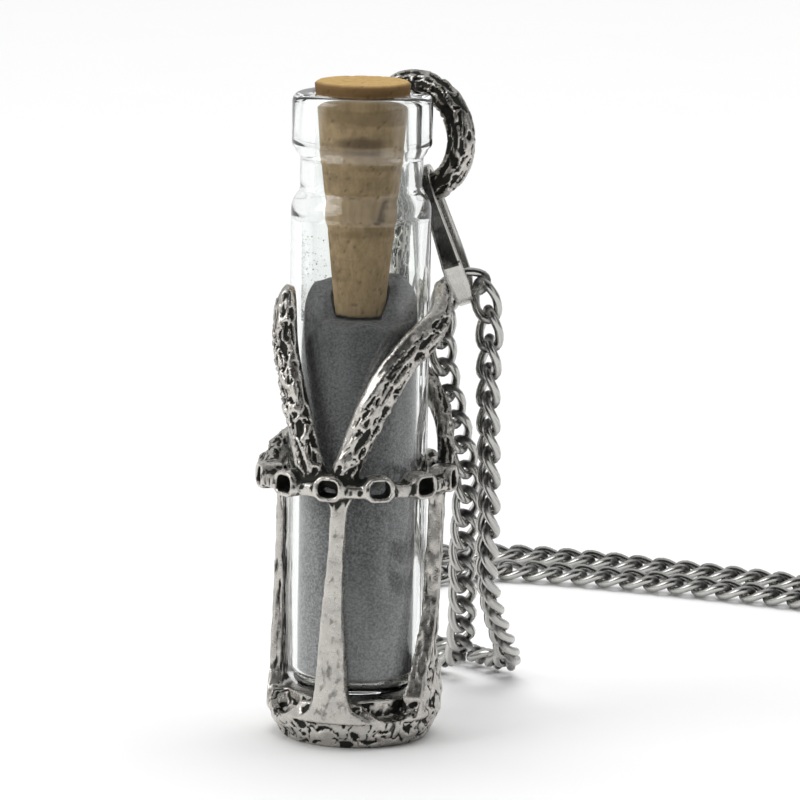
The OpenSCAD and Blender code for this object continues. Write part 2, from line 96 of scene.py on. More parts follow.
# The chain's route from one end at the clasp, up through the bail and back to the clasp. A point without a
# height has the height at which the chain lies on the floor.
CHAIN_LIES = 1.25
CHAIN_ROUTE = [
    (68, 16), (68, 26), (67.8, 37), (66.5, 47), (63, 56), (57, 63.5), (46, 69.6), (32, 73.6), (16, 77),
    (0, 79.5), (-8, 77.5), (-13.5, 72), (-16, 64), (-16, 55), (-13.5, 45), (-9, 37), (-3, 30.5),
    (2.4, 26.2, 1.3), (5, 23.8, 2.5), (6, 21.4, 5.2), (6.6, 18.8, 9.2), (7, 16.4, 13.7), (7.6, 14.2, 18.2),
    (8, 12.6, 22.7), (7.2, 11, 27.8), (6.3, 9.8, 32.4), (6, 9, 36.6), (6.1, 9.3, 39.4), (7, 9.4, 41.2),
    (8.4, 9.3, 41.7), (9.8, 9, 41), (10.6, 8.6, 37.8), (10.7, 8.3, 31.3), (10.7, 9.2, 24.8),
    (10.4, 11.2, 18.3), (9.8, 14.2, 13), (9.8, 17.6, 8.7), (10.1, 21, 5.2), (10.1, 24.2, 2.6),
    (8.8, 27.2, 1.4), (5.6, 30), (1, 33.4), (-4, 38.6), (-7.5, 46), (-9, 54), (-8, 62), (-4, 68.6),
    (3, 71.2), (18, 69.3), (34, 65.5), (44, 61.4), (51, 53.5), (54, 43), (54, 30), (54, 17), (54, 4),
    (54, -9), (55.2, -19.2), (61, -23.2), (66.8, -19.2), (68, -9), (68, 4),
]
# Roll of the links about the chain in degrees, at shares of the chain's length
CHAIN_ROLLS = [
    (0, 0), (0.1, 12), (0.2, -15), (0.3, 10), (0.37, 12), (0.39, 28), (0.445, 28), (0.455, 8), (0.464, 2),
    (0.47, 40), (0.48, 52), (0.53, 52), (0.55, 22), (0.62, 15), (0.7, 15), (0.8, -12), (0.9, 10), (1, 0),
]
# What smoothing leaves of a link's middle line, of its wire's thickness and of its lowest point's depth
LINE_KEPT = 0.966
WIRE_KEPT = 0.82
LOWEST_KEPT = 0.93
# Ways towards which the surroundings are dark, with the closeness at which the dark starts and is full and
# the share of light that is left there
DARK_SIDES = [((0.25, -0.9, 0.35), 0.3, 0.82, 0.04), ((0.96, -0.2, 0.1), 0.35, 0.95, 0.2)]
# The camera's place in metres, and its turn to the right, turn down and roll in degrees
CAMERA_PLACE = (0.101877, -0.479292, 0.1183)
CAMERA_TURNS = (11.549, 10.027, -0.9)


# Sizes and colours

def length(name, description, default):
    return FloatProperty(
        name=name, description=description, default=default * MM, min=0, unit="LENGTH", precision=5)


def share(name, description, default):
    return FloatProperty(name=name, description=description, default=default, min=0, max=1, subtype="FACTOR")


def power(name, description, default):
    return FloatProperty(name=name, description=description, default=default, unit="POWER")


def colour(name, what, default):
    return FloatVectorProperty(
        name=name, description="Colour of the " + what, default=default, size=3, min=0, max=1,
        subtype="COLOR")


class HolderSettings(PropertyGroup):
    grain: length("Mesh size", "Edge of the casting's mesh faces", 0.182)
    bark_depth: length("Bark depth", "Depth of the pits in the arms' bark", 0.34)
    pit_depth: length("Pit depth", "Depth of the pits in the base", 0.3)
    wear_depth: length("Wear", "Unevenness of the straps and the girdle", 0.05)
    bright: colour("Raised metal", "raised silver", (0.6, 0.575, 0.535))
    dark: colour("Patina", "oxidised hollows", (0.016, 0.016, 0.012))


class VialSettings(PropertyGroup):
    body: length("Body diameter", "Outside diameter of the body", 13)
    wall: length("Wall", "Thickness of the wall", 1)
    floor: length("Floor", "Thickness of the floor", 0.85)
    foot: length("Foot rounding", "Rounding of the foot", 2.2)
    neck: length("Neck diameter", "Outside diameter of the neck", 11.4)
    mouth: length("Mouth diameter", "Diameter of the mouth", 8.8)
    lip: length("Lip diameter", "Outside diameter of the lip", 13)
    lip_height: length("Lip height", "Height of the lip's straight band", 4.75)
    tint: colour("Tint", "glass", (0.965, 0.985, 0.975))


class PowderSettings(PropertyGroup):
    depth: length("Depth", "Depth of the powder over the vial's floor", 33.5)
    heap: length("Heap", "Height of the heap over the powder's level", 3.4)
    gap: length("Gap", "Gap between the powder and the glass or the cork", 0.12)
    pale: colour("Pale grain", "lighter grains", (0.33, 0.33, 0.338))
    deep: colour("Deep grain", "darker grains", (0.06, 0.06, 0.062))


class CorkSettings(PropertyGroup):
    top: length("Top diameter", "Diameter of the cork's top", 8.9)
    tip: length("Tip diameter", "Diameter of the cork's tip", 4.6)
    length: length("Length", "Length of the cork", 21.7)
    face: colour("Top face", "cut top", (0.47, 0.31, 0.12))
    side: colour("Side", "side", (0.25, 0.175, 0.09))
    # Also the colour of the painted shade band under the glass lip
    knot_and_lip_shade: colour("Knots", "knots and streaks", (0.07, 0.042, 0.022))


class BailSettings(PropertyGroup):
    sheet: length("Sheet", "Thickness of the sheet", 0.5)
    width: length("Width", "Width where it holds the chain", 2.1)
    end_width: length("End width", "Width at its two ends", 1.2)
    length: length("Length", "Length from the ring's metal down", 11.7)
    room: length("Room", "Room between the two legs", 4.1)
    # Above the fold the front leg's face is painted near black, a painted dark reflection
    fold: share("Fold", "Share of the length down to the fold, over which the front leg is dark", 0.62)
    metal: colour("Metal", "polished sheet", (0.6, 0.59, 0.56))


class ChainSettings(PropertyGroup):
    link_length: length("Link length", "Outside length of a curb link", 4.8)
    link_width: length("Link width", "Outside width of a curb link", 3.1)
    wire: length("Wire", "Thickness of a link's wire", 0.95)
    pitch: length("Pitch", "Distance from one link to the next", 2.71)
    twist: FloatProperty(name="Twist", description="Twist of a link's two ends", default=math.radians(-58),
                         subtype="ANGLE", unit="ROTATION")
    sides: IntProperty(name="Wire sides", description="Sides of a link's wire", default=5, min=3)
    steps: IntProperty(name="Link steps", description="Steps round a link", default=12, min=6)
    steel: colour("Steel", "polished steel", (0.52, 0.515, 0.495))
    shade: colour("Shade", "steel between the links", (0.035, 0.035, 0.036))


class StageSettings(PropertyGroup):
    floor: colour("Floor", "floor", (0.93, 0.93, 0.93))
    sky: share("Surroundings", "Brightness of the surroundings", 0.66)
    key: power("Key lamp", "Power of the large lamp at the left", 1.2)
    fill: power("Fill lamp", "Power of the lamp at the right", 0.25)
    top: power("Top lamp", "Power of the lamp overhead", 25)


# Shaders

class Value:
    """A shader socket. An expression on it adds the Math nodes that work it out."""

    def __init__(self, finish, socket):
        self.finish = finish
        self.socket = socket

    def math(self, operation, *values):
        return self.finish.add("Math", {"operation": operation}, dict(enumerate(values)))

    def __add__(self, other):
        return self.math("ADD", self, other)

    def __sub__(self, other):
        return self.math("SUBTRACT", self, other)

    def __rsub__(self, other):
        return self.math("SUBTRACT", other, self)

    def __mul__(self, other):
        return self.math("MULTIPLY", self, other)

    __radd__ = __add__
    __rmul__ = __mul__

    def above(self, low, high, first=0, last=1):
        """The first value under low, the last one over high and smooth between them."""
        return self.finish.add("MapRange", {"interpolation_type": "SMOOTHSTEP"}, {
            "Value": self, "From Min": low, "From Max": high, "To Min": first, "To Max": last})


class Finish:
    """A material or a world and the nodes that it is made of."""

    def __init__(self, name, kind="materials"):
        self.owner = getattr(bpy.data, kind).new(name)
        self.owner.use_nodes = True
        self.nodes = self.owner.node_tree.nodes
        self.links = self.owner.node_tree.links
        self.nodes.clear()

    def add(self, kind, settings=None, inputs=None, output=0):
        """Adds a shader node of that kind, with its settings and the values or links of its sockets."""
        node = self.nodes.new("ShaderNode" + kind)
        for name, value in (settings or {}).items():
            setattr(node, name, value)
        for name, value in (inputs or {}).items():
            socket = node.inputs[name]
            if isinstance(value, Value):
                self.links.new(value.socket, socket)
            elif socket.type == "RGBA":
                socket.default_value = (*value, 1)
            else:
                socket.default_value = value
        return Value(self, node.outputs[output])

    def place(self, scale=(1, 1, 1), turn=(0, 0, 0)):
        """Object coordinates in millimetres, stretched and turned."""
        coordinates = self.add("TexCoord", output="Object")
        factors = tuple(value / MM for value in scale)
        return self.add("Mapping", {}, {"Vector": coordinates, "Scale": factors, "Rotation": turn})

    def attribute(self, name, output="Fac"):
        return self.add("Attribute", {"attribute_name": name}, output=output)

    def noise(self, vector, scale, detail=4, roughness=0.55):
        """Noise on a vector, or on the object's coordinates with that stretch."""
        vector = vector if isinstance(vector, Value) else self.place(vector)
        return self.add("TexNoise", {}, {
            "Vector": vector, "Scale": scale, "Detail": detail, "Roughness": roughness})

    def mix(self, factor, first, second):
        """A colour between two, by a factor from 0 to 1."""
        return self.add("Mix", {"data_type": "RGBA"}, {0: factor, 6: first, 7: second}, output=2)

    def bump(self, height, distance, strength=1, normal=None):
        inputs = {"Height": height, "Distance": distance * MM, "Strength": strength}
        if normal:
            inputs["Normal"] = normal
        return self.add("Bump", {}, inputs)

    def done(self, shader, end="OutputMaterial"):
        """Ends the nodes with that shader and gives the material or the world."""
        self.links.new(shader.socket, self.nodes.new("ShaderNode" + end).inputs["Surface"])
        return self.owner

    def surface(self, **inputs):
        """Ends the material with a principled shader of those inputs."""
        inputs = {name.replace("_", " "): value for name, value in inputs.items()}
        return self.done(self.add("BsdfPrincipled", {}, inputs))


def silver_finish(settings):
    """Cast silver: polished where it is raised, near black where the patina stays."""
    finish = Finish("oxidised_silver")
    place = finish.place()
    fine = finish.noise(place, 2.2, 5, 0.6)
    coarse = finish.noise(place, 0.5, 3)
    specks = finish.noise(place, 6.5, 3, 0.7)
    patina = finish.attribute("patina")
    streaks = finish.noise(finish.attribute("grain", "Vector"), 1, 4, 0.65)
    streaky = finish.attribute("streaky") * (streaks - 0.5)
    worn = (patina + (fine - 0.5) * 0.4 + (specks - 0.5) * 0.24 + streaky * 1.5).above(0.3, 0.72)
    warm = finish.mix(coarse.above(0.35, 0.65), settings.bright, (0.52, 0.5, 0.47))
    base = finish.mix(worn, warm, settings.dark)
    rough = 0.2 + fine * 0.16 + worn * 0.34
    relief = finish.bump(fine, 0.05, 0.55)
    relief = finish.bump(specks - streaky * 2, 0.03, 0.6, relief)
    return finish.surface(Base_Color=base, Metallic=1 - worn * 0.55, Roughness=rough, Normal=relief)


def glass_finish(settings):
    """Clear moulded glass that lets the lamps' light through."""
    finish = Finish("clear_glass")
    glass = finish.add("BsdfPrincipled", {}, {
        "Base Color": settings.tint, "Roughness": 0, "IOR": 1.5, "Transmission Weight": 1,
        "Normal": finish.bump(finish.noise((0.12, 0.12, 0.05), 1, 2), 0.25, 0.12)})
    clear = finish.add("BsdfTransparent", {}, {"Color": (0.97, 0.98, 0.975)})
    shadow = finish.add("LightPath", output="Is Shadow Ray")
    return finish.done(finish.add("MixShader", {}, {0: shadow, 1: glass, 2: clear}))


def powder_finish(settings):
    """Fine dark metal powder with lighter grains, with painted shade darkening it towards the top."""
    finish = Finish("metal_powder")
    place = finish.place()
    grain = finish.noise(place, 4.3, 4, 0.85)
    drift = finish.noise((1, 1, 0.35), 0.35, 3)
    height = finish.add("SeparateXYZ", {}, {"Vector": place}, output="Z")
    shade = (grain * 2.4 + drift * 0.6 - 1).above(0.1, 0.95)
    base = finish.mix(shade, settings.deep, settings.pale)
    # Painted shade: darker towards the top, where the powder lies in shadow under the cork
    base = finish.mix(height.above(24, 39) * 0.6, base, (0.02, 0.02, 0.02))
    return finish.surface(
        Base_Color=base, Roughness=0.62, Metallic=0.25, Normal=finish.bump(grain, 0.06, 0.8))


def cork_finish(settings):
    """Natural cork, paler on its cut top, with streaks and dark knots, and painted shade in a band under the
    glass lip and on the side over it.
    """
    finish = Finish("natural_cork")
    grain = finish.noise((1.4, 1.4, 0.7), 1.2, 6, 0.65)
    fine = finish.noise((2, 2, 6), 1.3, 4, 0.6)
    bands = finish.noise((0.12, 0.12, 0.5), 1, 3, 0.5)
    knots_and_lip_shade = finish.attribute("knot_and_lip_shade")
    top = finish.attribute("cut_top")
    side = finish.mix(grain.above(0.3, 0.72), settings.side, (0.37, 0.26, 0.142))
    side = finish.mix(bands.above(0.52, 0.66) * 0.55, side, (0.16, 0.105, 0.05))
    face = finish.mix(grain.above(0.4, 0.7), settings.face, (0.55, 0.37, 0.15))
    base = finish.mix(top, side, face)
    # Painted shade: the cork's side over the glass lip is darker, where it faces dark surroundings
    base = finish.mix(finish.attribute("rim") * 0.85, base, (0.19, 0.108, 0.042))
    base = finish.mix(fine.above(0.6, 0.78) * 0.35, base, settings.knot_and_lip_shade)
    # Painted shade: the knot mask also darkens the band under the glass lip
    base = finish.mix(knots_and_lip_shade, base, settings.knot_and_lip_shade)
    relief = finish.bump(grain - knots_and_lip_shade * 0.8, 0.12, 0.5)
    return finish.surface(Base_Color=base, Roughness=0.78, Specular_IOR_Level=0.15, Normal=relief)


def sheet_finish(settings):
    """Polished sheet metal with fine scratches, and a painted dark reflection on the front leg above the
    fold, its edges left bright.
    """
    finish = Finish("polished_sheet")
    scratches = finish.noise(finish.place((5, 5, 0.5), (0.2, 0.3, 0)), 1.2, 4, 0.6)
    cloud = finish.noise(finish.place(), 0.45, 3)
    drop = finish.attribute("drop")
    upper = 1 - drop.above(settings.fold - 0.004, settings.fold + 0.004)
    flat = 1 - finish.attribute("edge").above(0.72, 0.84)
    # Painted dark reflection: the front leg's face over the fold is near black, as if mirroring dark
    # surroundings
    painted_dark_reflection = finish.attribute("front") * upper * flat * (0.8 + cloud.above(0.4, 0.6) * 0.2)
    base = finish.mix(cloud.above(0.3, 0.7), settings.metal, (0.52, 0.51, 0.48))
    base = finish.mix(painted_dark_reflection, base, (0.012, 0.012, 0.01))
    rough = 0.16 + scratches * 0.16 + cloud * 0.06
    relief = finish.bump(scratches, 0.012, 0.5)
    return finish.surface(Base_Color=base, Metallic=1 - painted_dark_reflection * 0.6, Roughness=rough, Normal=relief)


def steel_finish(settings):
    """Polished steel, with shade painted dark where one link lies in the next."""
    finish = Finish("chain_steel")
    nest_shade = finish.attribute("nest_shade")
    cloud = finish.noise(finish.place(), 0.9, 4)
    # Painted shade between the links, mixed with cloudy grime
    painted_shade_and_grime = (nest_shade + (cloud - 0.5) * 0.7).above(0.15, 0.64)
    base = finish.mix(painted_shade_and_grime, settings.steel, settings.shade)
    rough = 0.16 + cloud * 0.16 + painted_shade_and_grime * 0.22
    return finish.surface(
        Base_Color=base, Metallic=1, Roughness=rough, Normal=finish.bump(cloud, 0.02, 0.4))


def floor_finish(settings):
    """Plain pale floor with a trace of paper grain, dark in front where only the glass mirrors it."""
    finish = Finish("pale_floor")
    grain = finish.noise((0.05, 0.05, 0.05), 1, 3)
    base = finish.mix(grain, settings.floor, settings.floor * 0.985)
    depth = finish.add("SeparateXYZ", {}, {"Vector": finish.place()}, output="Y")
    mirrored = finish.add("LightPath", output="Is Singular Ray")
    mirrored = mirrored * finish.add("LightPath", output="Glossy Depth").above(0.2, 0.8)
    base = finish.mix(mirrored * (1 - depth.above(-70, -14)), base, (0.15, 0.15, 0.15))
    return finish.surface(Base_Color=base, Roughness=0.7)


# Helpers

def polar(turn, radius, z):
    """A point by its turn from the front in degrees, its distance from the axis and its height."""
    angle = math.radians(turn)
    return (radius * math.sin(angle), -radius * math.cos(angle), z)


def smooth(low, high, value):
    """0 before low, 1 past high and smooth between them, for an array. High may be the lesser."""
    part = np.clip((value - low) / (high - low), 0, 1)
    return part * part * (3 - 2 * part)


def band(value, start, full, fading, end):
    """0 outside start and end, 1 from full to fading and smooth between them."""
    return smooth(start, full, value) * smooth(end, fading, value)


def between(start, end, count):
    """That many points in a row, from start to end."""
    return [tuple(point) for point in np.linspace(start, end, count)]


def rows_of(mesh, field="co"):
    """The vertices' places or normals in rows of three."""
    values = np.empty(len(mesh.vertices) * 3, np.float32)
    mesh.vertices.foreach_get(field, values)
    return values.reshape(-1, 3).astype(float)


def put_rows(mesh, rows):
    mesh.vertices.foreach_set("co", np.asarray(rows, np.float32).ravel())
    mesh.update()


def put_attribute(mesh, name, values):
    """Gives each vertex a number, or a row of three, under that name."""
    values = np.asarray(values, np.float32)
    kind, field = ("FLOAT", "value") if values.ndim == 1 else ("FLOAT_VECTOR", "vector")
    mesh.attributes.new(name, kind, "POINT").data.foreach_set(field, values.ravel())


def noise_at(rows, scale, octaves=1, seed=0):
    """Perlin noise from about -1 to 1 at each row, in millimetres."""
    shift = Vector((1, 0.7, 1.3)) * seed
    return np.array([noise.fractal(Vector(row) * scale + shift, 1, 2, octaves) for row in rows])


def cells_at(rows):
    """For each row, the way from its cell's nearest edge and a random share of the cell."""
    edges, shares = [], []
    for row in rows:
        distances, points = noise.voronoi(Vector(row))
        edges.append(distances[1] - distances[0])
        shares.append(noise.cell(points[0] * 3.1))
    return np.array(edges), np.array(shares)


def placed(name, data):
    """A new object of that data in the scene."""
    shown = bpy.data.objects.new(name, data)
    bpy.context.scene.collection.objects.link(shown)
    return shown


def piece(name, mesh, material, body, node):
    """Makes an object of the mesh, on its body, standing for that node."""
    mesh.name = name
    mesh.materials.clear()
    mesh.materials.append(material)
    mesh.shade_smooth()
    shown = placed(name, mesh)
    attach(shown, body)
    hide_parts(node)
    return shown


def mesh_of(work):
    """Ends a bmesh and gives its mesh."""
    mesh = bpy.data.meshes.new("mesh")
    work.to_mesh(mesh)
    work.free()
    return mesh


def rounded(corners, steps=6):
    """A profile through corners of radius, height and rounding."""
    profile = []
    for index, (r, z, fillet) in enumerate(corners):
        here = Vector((r, z))
        if not fillet or index in (0, len(corners) - 1):
            profile.append(here)
            continue
        back = (Vector(corners[index - 1][:2]) - here).normalized()
        ahead = (Vector(corners[index + 1][:2]) - here).normalized()
        half = back.angle(ahead) / 2
        reach = fillet / math.tan(half)
        centre = here + (back + ahead).normalized() * (fillet / math.sin(half))
        start = (here + back * reach - centre).normalized()
        end = (here + ahead * reach - centre).normalized()
        for step in range(steps + 1):
            profile.append(centre + start.slerp(end, step / steps) * fillet)
    return profile


def spun(profile, steps):
    """A closed shape spun round the Z axis from a profile of radius and height in millimetres."""
    work = bmesh.new()
    verts = [work.verts.new((r * MM, 0, z * MM)) for r, z in profile]
    edges = [work.edges.new(pair) for pair in zip(verts, verts[1:])]
    bmesh.ops.spin(work, geom=verts + edges, axis=(0, 0, 1), angle=FULL_TURN, steps=steps,
                   use_merge=True)
    bmesh.ops.remove_doubles(work, verts=work.verts, dist=0.002 * MM)
    bmesh.ops.recalc_face_normals(work, faces=work.faces)
    return mesh_of(work)


def merged_copy(node):
    """A copy of a CAD node's mesh with its loose triangles joined."""
    work = bmesh.new()
    work.from_mesh(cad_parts[node].data)
    bmesh.ops.remove_doubles(work, verts=work.verts, dist=0.001 * MM)
    return mesh_of(work)


def remeshed(mesh, step):
    """The mesh with its faces made anew at an even size."""
    carrier = placed("carrier", mesh)
    modifier = carrier.modifiers.new("remesh", "REMESH")
    modifier.mode = "VOXEL"
    modifier.voxel_size = step
    shown = carrier.evaluated_get(bpy.context.evaluated_depsgraph_get())
    made = bpy.data.meshes.new_from_object(shown)
    bpy.data.objects.remove(carrier)
    return made


def bevelled(work, width, segments):
    """The mesh of a bmesh once its sharp edges are rounded by that width in millimetres."""
    sharp = [edge for edge in work.edges if edge.calc_face_angle(0) > math.radians(50)]
    bmesh.ops.bevel(work, geom=sharp, offset=width * MM, affect="EDGES",
                    segments=segments, profile=0.5, material=-1)
    return mesh_of(work)


def turned(degrees, axis):
    """A rotation about an axis by its letter."""
    return Matrix.Rotation(math.radians(degrees), 4, axis)


# Holder

def grain_paths():
    """Each arm's line and the ring's, as points in millimetres with the way out of its face there."""
    paths = []
    for rows in ARM_PATHS:
        steps = np.arange(4 * len(rows) - 3) / 4
        turns, rises = (np.interp(steps, range(len(rows)), column) for column in zip(*rows))
        points = [polar(turn, ARM_RADIUS, GIRDLE_Z + rise) for turn, rise in zip(turns, rises)]
        paths.append((np.array(points), np.array([polar(turn, 1, 0) for turn in turns])))
    circle = [RING_CENTRE + RING_RADIUS * (math.sin(t) * RING_ALONG - math.cos(t) * np.array([0, 0, 1]))
              for t in np.linspace(0, FULL_TURN, 49)]
    paths.append((np.array(circle), np.array([polar(RING_TURN, 1, 0)] * len(circle))))
    return paths


def bark_places(rows):
    """Each place's ways along, across and out of its path, its path's number and its way to the end."""
    best = np.full(len(rows), 1e9)
    places = np.zeros((len(rows), 3))
    owner = np.zeros(len(rows), int)
    left = np.zeros(len(rows))
    for number, (points, outs) in enumerate(grain_paths()):
        walked = 40 * number
        end = walked + np.linalg.norm(np.diff(points, axis=0), axis=1).sum()
        for index in range(len(points) - 1):
            start, leg = points[index], points[index + 1] - points[index]
            reach = np.linalg.norm(leg)
            ahead = leg / reach
            out = outs[index] - ahead * np.dot(outs[index], ahead)
            out /= np.linalg.norm(out)
            across = np.cross(ahead, out)
            offset = rows - start
            part = np.clip(offset @ ahead, 0, reach)
            distance = np.linalg.norm(offset - part[:, None] * ahead, axis=1)
            closer = distance < best
            best[closer] = distance[closer]
            owner[closer] = number
            places[closer] = np.stack([walked + part, offset @ across, offset @ out], axis=1)[closer]
            left[closer] = end - walked - part[closer]
            walked += reach
    return places, owner, left


def softened(mesh, places, rounds, share_moved=0.5):
    """The places, each moved towards the mean of its neighbours by that share, a few times."""
    ends = np.empty(len(mesh.edges) * 2, np.int32)
    mesh.edges.foreach_get("vertices", ends)
    first, second = ends[0::2], ends[1::2]
    size = len(places)
    count = np.bincount(ends, minlength=size)
    for _ in range(rounds):
        means = np.stack([
            (np.bincount(first, column[second], size) + np.bincount(second, column[first], size)) / count
            for column in places.T], axis=1)
        places = places + (means - places) * share_moved
    return places


def curve_of(mesh, places, normals, rounds):
    """How far each vertex lies under its softened neighbourhood: over 0 in a hollow."""
    return ((softened(mesh, places, rounds) - places) * normals).sum(axis=1)


def hidden_share(mesh, places, normals, reach, rays):
    """The share of the way out of each vertex that other metal stops."""
    faces = [tuple(face.vertices) for face in mesh.polygons]
    tree = BVHTree.FromPolygons([Vector(row) for row in places], faces)
    golden = math.pi * (3 - math.sqrt(5))
    fan = []
    for index in range(rays):
        height = math.sqrt(1 - (index + 0.5) / rays)
        side = math.sqrt(1 - height * height)
        fan.append((side * math.cos(golden * index), side * math.sin(golden * index), height))
    shares = np.zeros(len(places))
    for index, (place, normal) in enumerate(zip(places, normals)):
        out = Vector(normal)
        first = out.orthogonal().normalized()
        second = out.cross(first)
        start = Vector(place) + out * 0.04
        met = 0
        for x, y, z in fan:
            distance = tree.ray_cast(start, first * x + second * y + out * z, reach)[3]
            if distance is not None:
                met += 1 - 0.6 * distance / reach
        shares[index] = met / rays
    return shares


class PENDANT_OT_holder(Operator):
    """Casts the holder's metal with its bark, pits and patina"""
    bl_idname = "pendant.make_holder"
    bl_label = "Make the holder"

    def execute(self, context):
        settings = context.scene.pendant_holder
        step = settings.grain * 1
        mesh = remeshed(merged_copy("holder"), step)
        places = rows_of(mesh) / MM
        x, y, z = places.T
        belt = band(z, *BELT) * smooth(7.2, 7.5, np.hypot(x, y))
        places = softened(mesh, places, 2)
        places = softened(mesh, places, 5, 0.5 * belt[:, None])
        put_rows(mesh, places * MM)
        normals = rows_of(mesh, "normal")
        x, y, z = places.T
        radius = np.hypot(x, y)
        turn = np.degrees(np.arctan2(x, -y))
        outward = (normals[:, 0] * x + normals[:, 1] * y) / np.maximum(radius, 0.1)
        warp = np.stack([noise_at(places, 0.9, seed=seed) for seed in (3, 11, 23)], axis=1)
        high = smooth(GIRDLE_Z + 0.9, GIRDLE_Z + 1.9, z)
        under = smooth(0, 0.5, z)

        # Arms and ring
        bark, owner, left = bark_places(places)
        on_ring = owner == len(ARM_PATHS)
        crown = np.where(on_ring, 1, smooth(-0.7, 0.1, bark[:, 2]))
        stretch = np.where(on_ring[:, None], [[2.1, 0.8, 0.8]], [[2.4, 0.62, 0.72]])
        edge, luck = cells_at(bark / stretch + warp * 0.42)
        ridge = 0.03 + 0.1 * smooth(-0.4, 0.5, noise_at(places, 0.8, seed=83))
        pits = smooth(ridge, ridge + 0.17, edge) * (0.3 + 0.7 * smooth(-0.75, -0.1, luck)) * high * crown
        chamfer = smooth(0.75, 1.1, -bark[:, 1]) * (owner == 1)
        tip = smooth(3.2, 1.6, left) * (owner < 2)
        rim = smooth(1.15, 1.5, np.abs(bark[:, 1])) * (1 - on_ring)
        pits *= (1 - 0.6 * rim) * (1 - 0.85 * chamfer) * (1 - 0.6 * tip)
        streaks = noise_at(bark / (3.6, 0.5, 0.55), 1, 3, seed=61)
        swell = high * crown * np.where(on_ring, 0.4, 1)
        depth = pits * settings.bark_depth / MM - swell * 0.17 + swell * 0.13 * streaks
        way = places - RING_CENTRE
        spoke = np.hypot(way @ RING_ALONG, way[:, 2]) - RING_RADIUS
        worn_band = on_ring * band(spoke, -1.1, -0.5, 0.3, 0.8)

        # Base, with its straps' feet smoother
        lean = np.zeros(len(places))
        near = np.full(len(places), 90.0)
        for strap_turn, strap_way in STRAPS:
            off = np.abs((turn - strap_turn + 180) % 360 - 180)
            closer = off < near
            near[closer] = off[closer]
            lean[closer] = strap_way
        lump = band(turn, *LUMP_TURNS) * smooth(8, 7, z) * smooth(7, 7.4, radius)
        on_strap = smooth(8.2, 8.3, radius + lean * z / GIRDLE_Z) * smooth(2.3, 2.6, z)
        on_strap *= (1 - high) * (1 - lump)
        low = smooth(4.6, 3.9, z) * smooth(5.6, 6.6, radius) * (1 - on_strap)
        edge, luck = cells_at(places / (1.25, 1.25, 1.1) + warp * 0.55)
        rim = 0.08 + 0.16 * smooth(-0.4, 0.5, noise_at(places, 0.7, seed=89))
        holes = smooth(rim, rim + 0.3, edge) * smooth(-0.45, 0.15, luck) * low * (1 - lump)
        lumps = 0.5 + 0.5 * noise_at(places, 0.75, seed=31)
        folds = 1 - smooth(0.02, 0.16, np.abs(noise_at(places * (1, 1, 0.6) + warp * 0.6, 0.62, 2, seed=91)))
        folds *= np.maximum(0.55 * low, lump * smooth(2, 3, z))
        lumps *= 0.34 * np.maximum(low, lump)
        depth += (holes * settings.pit_depth / MM + lumps + folds * 0.22) * under

        # Straps and girdle
        mottle = noise_at(places * (1, 1, 0.6), 2.1, 4, seed=47)
        worn = smooth(0.05, 0.5, mottle + 0.2 * smooth(17, 6, z))
        rough_side = (1 - high) * band(z, *ROUGH_STRETCH)
        rough_side *= np.maximum(1 - smooth(0.3, 0.65, outward), smooth(40, 60, np.abs(turn)))
        worn *= 1 - rough_side
        depth += (0.5 + 0.5 * mottle) * settings.wear_depth / MM * under * 0.35
        furrows = noise_at(places * (1, 1, 0.22), 2.4, 2, seed=71)
        depth += rough_side * 0.11 * (0.5 + furrows)
        moved = places - normals * depth[:, None]
        moved[:, 2] = np.maximum(moved[:, 2], 0)
        put_rows(mesh, moved * MM)

        normals = rows_of(mesh, "normal")
        hollow = curve_of(mesh, moved, normals, 3)
        wide = curve_of(mesh, moved, normals, 12)
        hidden = hidden_share(mesh, moved, normals, reach=3, rays=14)
        inner = smooth(0.1, 0.6, -outward) * (1 - on_ring)
        seat = smooth(0.5, 0.8, normals[:, 2]) * (radius < 6.8) * (z < 5.2)
        patina = (
            0.7 * smooth(0.1, 0.5, hidden) + 0.8 * pits + 0.85 * holes + 0.55 * folds
            + high * (0.18 + 0.1 * (owner == 0) + 0.2 * smooth(0, 0.5, streaks)) + 0.22 * low + 0.16 * lump
            + 0.3 * worn * on_strap + 0.18 * on_strap - 0.22 * chamfer * high
            + belt * (0.22 + 0.3 * smooth(-0.3, 0.4, mottle))
            # Painted light: the rough stretch takes more patina at the left and less at the right, evening
            # out the key lamp's light from the left
            + rough_side * (0.2 - 0.06 * np.sign(x) + 0.25 * smooth(-0.3, 0.5, furrows)) + 0.3 * inner
            + on_ring * (0.14 + 0.25 * smooth(-0.2, 0.4, streaks))
            + worn_band * (0.42 + 0.4 * smooth(-0.3, 0.2, streaks))
            + 6 * np.clip(hollow, -0.06, 0.06) + (1.6 + 3.5 * belt) * np.clip(wide, -0.2, 0.2)
        ) * (1 - seat)
        flow = np.where((high > 0.5)[:, None], bark / (2.2, 0.36, 0.36), places / (0.34, 0.34, 1.8))
        put_attribute(mesh, "grain", flow)
        put_attribute(mesh, "streaky", np.maximum(high * np.where(on_ring, 0.8, 0.9), rough_side))
        put_attribute(mesh, "patina", np.clip(patina, 0, 1))
        piece("holder_casting", mesh, silver_finish(settings), "root", "holder")
        return {"FINISHED"}


# Vial, powder and cork

VIAL_LOW, VIAL_TOP = (corner.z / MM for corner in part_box("vial"))
CORK_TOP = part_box("cork")[1].z / MM


